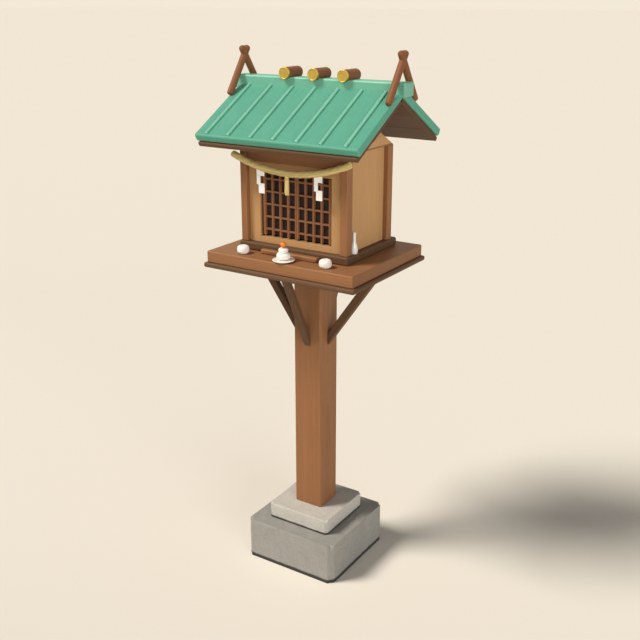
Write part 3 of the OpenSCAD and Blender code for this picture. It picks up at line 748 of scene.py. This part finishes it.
def paper_flap(x0, x1, z0, z1, y, curl, lean):
    """One fold of a streamer: a thin sheet that bulges by curl and is turned by lean."""
    shape = new_shape()
    cells = 8
    rows = []
    for j in range(cells + 1):
        row = []
        for i in range(cells + 1):
            u, v = i / cells, j / cells
            depth = y + curl * (4 * u * (1 - u)) + lean * (u - 0.5)
            row.append(shape.verts.new((x0 + (x1 - x0) * u, depth, z0 + (z1 - z0) * v)))
        rows.append(row)
    for low, high in zip(rows, rows[1:]):
        for i in range(cells):
            shape.faces.new((low[i], low[i + 1], high[i + 1], high[i]))
    return modified(shape, ("SOLIDIFY", {"thickness": 0.0005, "offset": 0.0}))


def make_streamer(side):
    """A paper streamer of three flaps that hang from each other, stepping from side to side."""
    node = "streamer_" + side
    low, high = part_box(node)
    middle = (low.x + high.x) / 2
    half = (high.x - low.x) / 2
    y = (low.y + high.y) / 2
    # The heights of the three flaps, from the top one down
    first, drop, tail = 0.020, 0.024, 0.032
    fold_z = high.z - first
    tail_z = fold_z - drop
    flaps = [
        paper_flap(middle - half, middle + half, fold_z, high.z, y, 0.0004, 0.0005),
        paper_flap(middle - half, middle - 0.0004, tail_z - 0.004, fold_z + 0.0015,
                   y - 0.0006, -0.0003, -0.0004),
        paper_flap(middle - half / 2, middle + half, tail_z - tail, tail_z,
                   y - 0.0001, 0.0005, 0.0006),
    ]
    return piece(node + "_paper", joined(flaps), "white_paper", [node])


def make_cords():
    rope, ends, tassel = make_rope()
    streamers = [make_streamer(side) for side in ("left", "right")]


# ---- Timber ----

def dress(node, material, along, bevel, segments=3, pith=0.09):
    """A CAD node's own shape with eased edges and grain."""
    shape = cad_shape(node)
    soften(shape, bevel, segments)
    set_grain(shape, along, pith)
    piece(node + "_timber", shape, material, [node])


def planked(node, material, along, stack, count):
    """A panel of planks that meet in fine V joints, side by side along the axis stack."""
    bevel = 0.0008
    low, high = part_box(node)
    width = (high[stack] - low[stack]) / count
    planks = []
    for i in range(count):
        start, end = Vector(low), Vector(high)
        start[stack] = low[stack] + i * width
        end[stack] = low[stack] + (i + 1) * width
        planks.append(board(start, end, along, bevel, 2, rng.uniform(0.05, 0.12)))
    piece(node + "_planks", joined(planks), material, [node])


def make_gable(node):
    """A gable board with a painted shadow line along its foot, where it sits on the side wall."""
    shadow_line_h = 0.0055
    shadow_darkness = 3.0
    shape = cad_shape(node)
    soften(shape, 0.0015, 3)
    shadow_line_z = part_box(node)[0].z + shadow_line_h
    bmesh.ops.bisect_plane(shape, geom=[*shape.verts, *shape.edges, *shape.faces],
                           plane_co=(0, 0, shadow_line_z), plane_no=(0, 0, 1))
    set_grain(shape, (0, 1, 0))
    end = shape.faces.layers.float["end"]
    # Painted shadow: the faces below the line are darkened strongly, as the shade at the joint with the
    # wall.
    for face in shape.faces:
        if face.calc_center_median().z < shadow_line_z:
            face[end] = shadow_darkness
    piece(node + "_timber", shape, "pale_cypress", [node])


def make_timber():
    """Post, braces, platform and body, each with its grain along the piece."""
    x, y, z = (1, 0, 0), (0, 1, 0), (0, 0, 1)
    dress("main_post", "post_cedar", z, 0.0025, pith=0.02)
    for name, along in (("left", (-0.707, 0, 1)), ("right", (0.707, 0, 1)),
                        ("front", (0, -0.505, 1)), ("back", (0, 0.505, 1))):
        dress("brace_" + name, "dark_timber", along, 0.004)
    dress("platform_tray", "dark_timber", x, 0.007, segments=4)
    dress("platform_slab", "slab_cedar", x, 0.004)
    dress("plinth", "dark_timber", x, 0.007, segments=4)
    dress("step_bar", "slab_cedar", x, 0.005, segments=4)
    for name in ("front_left", "front_right", "back_left", "back_right"):
        dress("corner_post_" + name, "post_cedar", z, 0.003, pith=0.04)
    for side in ("left", "right"):
        dress("front_panel_" + side, "pale_cypress", z, 0.001)
        make_gable("gable_board_" + side)
        dress("roof_frame_" + side, "dark_timber", y, 0.002)
        planked("side_wall_" + side, "pale_cypress", z, 1, 3)
    dress("door_sill", "pale_cypress", x, 0.001)
    dress("door_header", "pale_cypress", x, 0.001)
    planked("back_wall", "pale_cypress", z, 0, 4)
    dress("front_beam", "post_cedar", x, 0.002)
    dress("back_beam", "post_cedar", x, 0.002)
    planked("ceiling_board", "pale_cypress", x, 1, 3)
    dress("rope_pegs", "dark_timber", y, 0.0008, segments=2)


# ---- Roof ----

ridge_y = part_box("roof_sheet_back")[0].y
sheet_peak_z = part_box("ridge_cap")[1].z - CAP_COVER
peak_z = sheet_peak_z - SHEET_T / math.cos(ROOF_PITCH)
eave_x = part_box("roof_sheet_front")[1].x
seam_start = CAP_D / 2 / math.cos(ROOF_PITCH) - SHEET_T * math.tan(ROOF_PITCH) - SEAM_TUCK


def on_slope(side, x, down, up):
    """A point on a slope: down it from the ridge, and up from the sheets' underside."""
    out = down * math.cos(ROOF_PITCH) + up * math.sin(ROOF_PITCH)
    return Vector((x, ridge_y + side * out,
                   peak_z - down * math.sin(ROOF_PITCH) + up * math.cos(ROOF_PITCH)))


def slope_board(side, x0, x1, down0, down1, up0, up1, bevel, segments=2):
    """A board that lies in a slope, made flat and then laid on it."""
    shape = block((x0, down0, up0), (x1, down1, up1))
    soften(shape, bevel, segments)
    for vert in shape.verts:
        vert.co = on_slope(side, *vert.co)
    if side > 0:
        bmesh.ops.reverse_faces(shape, faces=shape.faces)
    return shape


def set_slope_grain(shape, side):
    """The sheets' pattern runs down the slope; each slope lies in another part of it."""
    layer = shape.verts.layers.float_vector["grain"]
    down = Vector((0, side * math.cos(ROOF_PITCH), -math.sin(ROOF_PITCH)))
    for vert in shape.verts:
        offset = vert.co - Vector((0, ridge_y, peak_z))
        along = offset.dot(down) + 3 * side
        across = vert.co.x + SEAM_PITCH / 2 + 40 * side
        vert[layer] = (along, across, offset.z * 0.3)


def make_slope(name, side):
    """A slope's metal sheet with its standing seams, and the boards under it."""
    node = "roof_sheet_" + name
    outline = [(ridge_y, peak_z), on_slope(side, 0, ROOF_SLOPE, 0).yz,
               on_slope(side, 0, ROOF_SLOPE, SHEET_T).yz, (ridge_y, sheet_peak_z)]
    sheet = extruded(outline, -eave_x, eave_x)
    soften(sheet, 0.0065, 5)
    set_slope_grain(sheet, side)
    piece(node + "_metal", sheet, "green_roof", [node])

    # The seams' feet are sunk into the sheet, and their +x sides are marked for painted shade
    sunk = 0.002
    seams = []
    for i in range(SEAM_COUNT):
        x = (i - (SEAM_COUNT - 1) / 2) * SEAM_PITCH
        seam = slope_board(side, x - SEAM_W / 2, x + SEAM_W / 2, seam_start,
                           ROOF_SLOPE - SEAM_END, SHEET_T - sunk, SHEET_T + SEAM_H, 0.0026, 3)
        seam.normal_update()
        end = seam.faces.layers.float["end"]
        for face in seam.faces:
            face[end] = 1.0 if face.normal.x > 0.6 else 0.0
        seams.append(seam)
    seams = joined(seams)
    set_slope_grain(seams, side)
    piece(node + "_seams", seams, "pale_green_roof")

    low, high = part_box("roof_boards_" + name)
    reach = high.y - ridge_y if side > 0 else ridge_y - low.y
    slope = (reach + ROOF_BOARD_GAP * math.sin(ROOF_PITCH)) / math.cos(ROOF_PITCH)
    count = 3
    joint = 0.0002
    # The top plank stops short of the ridge, clear of the other slope's
    top_start = 0.009
    planks = []
    for i in range(count):
        start = max(slope * i / count, top_start) + joint / 2
        end = slope * (i + 1) / count - joint / 2
        bevel = 0.0035 if i == count - 1 else 0.0004
        plank = slope_board(side, low.x, high.x, start, end, -ROOF_BOARD_GAP - ROOF_BOARD_T,
                            -ROOF_BOARD_GAP, bevel, 3)
        set_grain(plank, (1, 0, 0), rng.uniform(0.05, 0.12))
        planks.append(plank)
    piece("roof_boards_%s_planks" % name, joined(planks), "dark_timber", ["roof_boards_" + name])


def make_ridge_cap():
    """The folded cap over the ridge, rubbed and given a painted highlight along its edges but not at its
    ends.
    """
    cap = block(*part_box("ridge_cap"))
    soften(cap, 0.006, 5)
    set_grain(cap, (1, 0, 0), 0.0)
    wear = cap.faces.layers.float["wear"]
    end = cap.faces.layers.float["end"]
    # No face keeps the darker end mark, and the end faces and their bevels lose the painted highlight.
    for face in cap.faces:
        face[end] = 0.0
        if abs(face.normal.x) > 0.2:
            face[wear] = 0.0
    piece("ridge_cap_metal", cap, "pale_green_roof", ["ridge_cap"])


def make_ridge_logs():
    """Three logs that lie across the cap, each with a round back end and a gilt front end."""
    r = RIDGE_LOG_R
    half = RIDGE_LOG_LENGTH / 2
    front = half - END_CAP_T
    round_end = [(r - 0.0060, 0.0), (r - 0.0034, 0.0006), (r - 0.0014, 0.0020), (r - 0.0003, 0.0042)]
    # The straight part starts in front of the round end
    straight_h = front + half - 0.007
    outline = ([(0, -half)] + [(a, h - half) for a, h in round_end]
               + [(r, front - straight_h * k / 12) for k in range(12, -1, -1)]
               + [(0.4 * r, front), (0, front)])
    axis_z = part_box("ridge_cap")[1].z + RIDGE_LOG_R - RIDGE_LOG_SEAT
    logs, caps = [], []
    for i in (-1, 0, 1):
        centre = Vector((i * RIDGE_LOG_PITCH, ridge_y, axis_z))
        lay = Matrix.Translation(centre) @ Matrix.Rotation(math.pi / 2, 4, "X")
        log = lathe(outline, 56)
        roughen(log, 0.0006, 0.012)
        set_grain(log, (0, 0, 1), 0.002)
        logs.append(moved(log, lay))
        caps.append(moved(end_cap(), lay @ Matrix.Translation((0, 0, front))))
    piece("ridge_logs_turned", joined(logs), "bark_brown_log", ["ridge_logs"])
    piece("log_end_caps_gilt", joined(caps), "gilt_metal", ["log_end_caps"], sharp=50)


def end_cap():
    """A gilt cup with a rounded rim round a flat disc."""
    r, t = RIDGE_LOG_R, END_CAP_T
    disc_z = t - 0.0009
    wall = [(0, 0), (r - 0.0004, 0), (r, 0.0004), (r, t - 0.0018)]
    rim = [(r - 0.0003, t - 0.0008), (r - 0.0009, t - 0.0002), (r - 0.0018, t),
           (r - 0.0026, t - 0.0001), (r - 0.0031, t - 0.0005)]
    disc = [(r - 0.0036, disc_z), (0.008, disc_z), (0, disc_z)]
    return lathe(wall + rim + disc, 64)


def make_crossed_logs(node, side):
    """Two round logs that lean over the cap and cross above it."""
    run = CAP_D / 2 + CROSSED_LOG_PASS
    rise = CROSSED_LOG_RISE - CAP_COVER
    lean = math.atan2(run, rise) + math.asin((CROSSED_LOG_R + CROSSED_LOG_GAP) / math.hypot(run, rise))
    fall = math.tan(ROOF_PITCH)
    reach = (CROSSED_LOG_RISE - CROSSED_LOG_PASS * fall) / (math.cos(lean) - math.sin(lean) * fall)
    # Each log stops short of the slope by the height of its round end
    round_h = 0.0085
    length = reach - round_h
    r = CROSSED_LOG_R
    rounding = [(r - 0.0075, 0.0), (r - 0.0045, 0.0008), (r - 0.0020, 0.0026),
                (r - 0.0005, 0.0052), (r, round_h)]
    profile = ([(0, 0)] + rounding + [(r, length * k / 24) for k in range(2, 23)]
               + [(a, length - h) for a, h in reversed(rounding)] + [(0, length)])
    logs = []
    for turn in (-1, 1):
        log = lathe([(a, h - length) for a, h in profile], 40)
        roughen(log, 0.0004, 0.010)
        set_grain(log, (0, 0, 1), 0.0015)
        top = Vector((side * CROSSED_LOG_X, ridge_y - turn * CROSSED_LOG_PASS,
                      sheet_peak_z + CROSSED_LOG_RISE))
        logs.append(moved(log, Matrix.Translation(top) @ Matrix.Rotation(turn * lean, 4, "X")))
    piece(node + "_peeled", united(*logs), "bark_brown_log", [node], sharp=50)


def united(first, second):
    """Two shapes made one, without the faces inside."""
    tool = bpy.data.meshes.new("tool")
    second.to_mesh(tool)
    second.free()
    other = bpy.data.objects.new("tool", tool)
    scene.collection.objects.link(other)
    whole = modified(first, ("BOOLEAN", {"operation": "UNION", "solver": "EXACT", "object": other}))
    bpy.data.objects.remove(other)
    bpy.data.meshes.remove(tool)
    return whole


# ---- Doors ----

def lattice_shapes():
    """The bars of the right-hand leaf."""
    low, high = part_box("door_lattice_right")
    z0, z1 = (corner.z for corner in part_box("door_backing_right"))
    y0, y1 = low.y, high.y
    x, z = (1, 0, 0), (0, 0, 1)
    bevel = 0.0007
    # The level bars stay behind the uprights' faces and inside the stiles
    sunk = 0.0008
    short = 0.001
    inner = low.x + MEETING_STILE_W
    outer = high.x - HANGING_STILE_W
    step = (outer - inner + BAR_W) / (UPRIGHT_COUNT + 1)
    shapes = [board((low.x, y0, z0), (inner, y1, z1), z, bevel),
              board((outer, y0, z0), (high.x, y1, z1), z, bevel)]
    for i in range(1, UPRIGHT_COUNT + 1):
        right = inner + i * step
        shapes.append(board((right - BAR_W, y0, z0), (right, y1, z1), z, bevel))
    for i in range(LEVEL_COUNT):
        level = (z0 + z1) / 2 + (i - (LEVEL_COUNT - 1) / 2) * LEVEL_PITCH
        shapes.append(board((low.x + short, y0 + sunk, level - BAR_W / 2),
                            (high.x - short, y1 - sunk, level + BAR_W / 2), x, bevel))
    axis_x = high.x - HANGING_STILE_W / 2
    axis_y = (y0 + y1) / 2
    pin_r = 0.0025
    root = 0.001
    for start, end in ((low.z, z0 + root), (z1 - root, high.z)):
        pin = lathe([(0, start), (pin_r - 0.0004, start), (pin_r, start + 0.0004),
                     (pin_r, end - 0.0004), (pin_r - 0.0004, end), (0, end)], 24, (axis_x, axis_y, 0))
        shapes.append(pin)
    return shapes


def make_doors():
    """Both leaves; the left one mirrors the right one, and each rides on its own body."""
    for side in ("right", "left"):
        body = "door_" + side
        lattice = joined(lattice_shapes())
        # Each leaf's backing board is near black, as painted shade for the dark inside behind the
        # lattice.
        backing = cad_shape("door_backing_right")
        soften(backing, 0.0005, 2)
        set_grain(backing, (0, 0, 1))
        if side == "left":
            lattice = mirrored(lattice)
            backing = mirrored(backing)
        piece("door_lattice_%s_bars" % side, lattice, "lattice_wood",
              ["door_lattice_" + side], body)
        piece("door_backing_%s_board" % side, backing, "black_stained_wood",
              ["door_backing_" + side], body)


# ---- Stones ----

def make_stone(node, material, seed):
    """A stone with slightly rounded corners and a dressed, uneven face above a flat bed."""
    remesh = {"mode": "VOXEL", "voxel_size": 0.003, "use_smooth_shade": True}
    shape = modified(cad_shape(node), ("REMESH", remesh), ("SMOOTH", {"factor": 0.5, "iterations": 2}))
    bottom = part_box(node)[0].z
    bed_h = 0.002
    shape.normal_update()
    for vert in shape.verts:
        place = vert.co + Vector((seed, 0, 0))
        waves = noise.fractal(place / 0.05, 1.0, 2.0, 4)
        pick = noise.fractal(place / 0.009, 0.9, 2.0, 2)
        depth = 0.0004 * (1 + waves) + 0.0002 * (1 + pick)
        if vert.co.z > bottom + bed_h:
            vert.co -= vert.normal * max(depth, 0.0)
        else:
            vert.co.z = bottom
    piece(node + "_dressed", shape, material, [node], sharp=60)


# ---- Offerings ----

def turned_box(node):
    """The middle of a turned node's foot, its radius and its height."""
    low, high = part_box(node)
    middle = (low + high) / 2
    return Vector((middle.x, middle.y, low.z)), (high.x - low.x) / 2, high.z - low.z


def lumpy(profile, centre, seed):
    """A turned shape pressed in by up to 2.5 percent in soft waves, and moved to its place."""
    depth = 0.025
    size = 0.012
    shape = modified(lathe(profile), ("SUBSURF", {"levels": 2}))
    shift = Vector((seed, seed, 0))
    for vert in shape.verts:
        vert.co *= 1 - depth * (0.5 + 0.5 * noise.noise((vert.co + shift) / size))
    return moved(shape, Matrix.Translation(centre))


def turned(profile, foot, sides=48, levels=2):
    """A smooth turned shape that stands on the point foot."""
    shape = modified(lathe(profile, sides), ("SUBSURF", {"levels": levels}))
    return moved(shape, Matrix.Translation(foot))


def cake_profile(radius, height, share):
    """A flat disc with edges rounded over a share of its height, and a slightly sunken top."""
    r = share * height
    arc = [(radius - r + r * math.sin(math.radians(a)), r - r * math.cos(math.radians(a)))
           for a in range(0, 91, 15)]
    top = [(w, height - h) for w, h in reversed(arc)]
    inner = radius * 0.45
    return [(0, 0), (inner, 0)] + arc + top + [(inner, height - 0.0003), (0, height - 0.0006)]


def make_dish():
    """A flat dish on a ring foot."""
    foot, r, h = turned_box("offering_dish")
    underside = [(0, 0.0016), (0.0100, 0.0016), (0.0175, 0.0014), (0.0180, 0.0), (0.0205, 0.0),
                 (0.0215, 0.0012), (0.028, 0.0022), (0.034, 0.0036)]
    rim = [(r - 0.0008, h - 0.0026), (r, h - 0.0016), (r - 0.0008, h - 0.0004), (r - 0.003, h - 0.0002)]
    top = [(0.028, h - 0.0006), (0.014, h - 0.0008), (0, h - 0.0008)]
    piece("offering_dish_glazed", turned(underside + rim + top, foot), "white_ceramic",
          ["offering_dish"], sharp=60)


def make_stacked_cakes():
    """A smaller rice cake on a larger one, in the middle of the dish."""
    middle = turned_box("offering_dish")[0]
    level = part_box("rice_cakes")[0].z
    sunk = 0.0006
    cakes = []
    for i, (radius, height) in enumerate(((0.023, 0.022), (0.016, 0.016))):
        profile = cake_profile(radius, height, 0.42)
        cakes.append(lumpy(profile, (middle.x, middle.y, level), seed=i * 3.1))
        level += height - sunk
    piece("rice_cakes_dusted", joined(cakes), "rice_cake", ["rice_cakes"], sharp=60)


def make_orange():
    """An orange with a dimple at its foot and a deeper one at its top."""
    foot, r, h = turned_box("orange")
    count = 16
    outline = []
    for k in range(count + 1):
        turn = math.pi * k / count
        foot_dimple = 0.0006 * math.exp(-(turn / 0.3) ** 2)
        top_dimple = 0.0016 * math.exp(-((math.pi - turn) / 0.28) ** 2)
        outline.append((r * math.sin(turn) if 0 < k < count else 0,
                        h / 2 * (1 - math.cos(turn)) + foot_dimple - top_dimple))
    piece("orange_peel_skin", turned(outline, foot, 32), "orange_peel", ["orange"], sharp=60)


def make_side_cake(node, seed):
    foot, r, h = turned_box(node)
    shape = lumpy(cake_profile(r, h, 0.38), foot, seed)
    piece(node + "_dusted", shape, "rice_cake", [node], sharp=60)


def make_vase(node):
    """A small bottle whose round belly narrows in a smooth curve to a thin, hollow neck."""
    foot, belly, h = turned_box(node)
    neck = 0.00525
    bore = 0.0035
    belly_z, neck_z = 0.17 * h, 0.66 * h
    steps = 8
    base = [(0, 0.001), (0.007, 0.001), (0.0078, 0), (0.0100, 0), (0.0106, 0.0012), (0.0122, 0.006)]
    body = [(neck + (belly - neck) * (1 + math.cos(math.pi * k / steps)) / 2,
             belly_z + (neck_z - belly_z) * k / steps) for k in range(steps + 1)]
    lip = [(neck, h - 0.006), (neck + 0.0002, h - 0.003), (neck + 0.0009, h - 0.0014),
           (neck + 0.001, h - 0.0006), (neck + 0.0003, h), (bore + 0.0006, h - 0.0002)]
    hollow = [(bore, h - 0.0012), (bore, h - 0.020), (bore, h - 0.053), (0, h - 0.055)]
    shape = turned(base + body + lip + hollow, foot, 40, 1)
    piece(node + "_glazed", shape, "white_ceramic", [node], sharp=60)


# ---- Floor ----

def make_floor():
    """A flat floor that runs on past the horizon; it isn't part of the object."""
    shape = new_shape()
    size = 150.0
    corners = [shape.verts.new((x * size, y * size, 0))
               for x, y in ((-1, -1), (1, -1), (1, 1), (-1, 1))]
    shape.faces.new(corners)
    mesh = bpy.data.meshes.new("floor")
    shape.to_mesh(mesh)
    shape.free()
    mesh.materials.append(floor_finish())
    floor = bpy.data.objects.new("floor", mesh)
    scene.collection.objects.link(floor)


# ---- The scene ----

set_camera()
make_cords()
add_sun("key", (-0.47, -0.44, 0.76), 3.2, (1.0, 0.95, 0.87), 19)
add_sun("fill", (0.8, -0.5, 0.12), 2.0, (0.95, 0.96, 0.97), 40)
set_world(BACKDROP, (0.16, 0.157, 0.15))
make_floor()
make_timber()
make_slope("front", -1)
make_slope("back", 1)
make_ridge_cap()
make_crossed_logs("crossed_logs_left", -1)
make_crossed_logs("crossed_logs_right", 1)
make_ridge_logs()
make_doors()
make_stone("lower_stone", "weathered_stone", 0.0)
make_stone("upper_stone", "pale_stone", 4.0)
make_dish()
make_stacked_cakes()
make_orange()
for seed, side in ((7.3, "left"), (8.3, "right")):
    make_side_cake("side_cake_" + side, seed)
    make_vase("vase_" + side)

scene.view_settings.view_transform = "Standard"
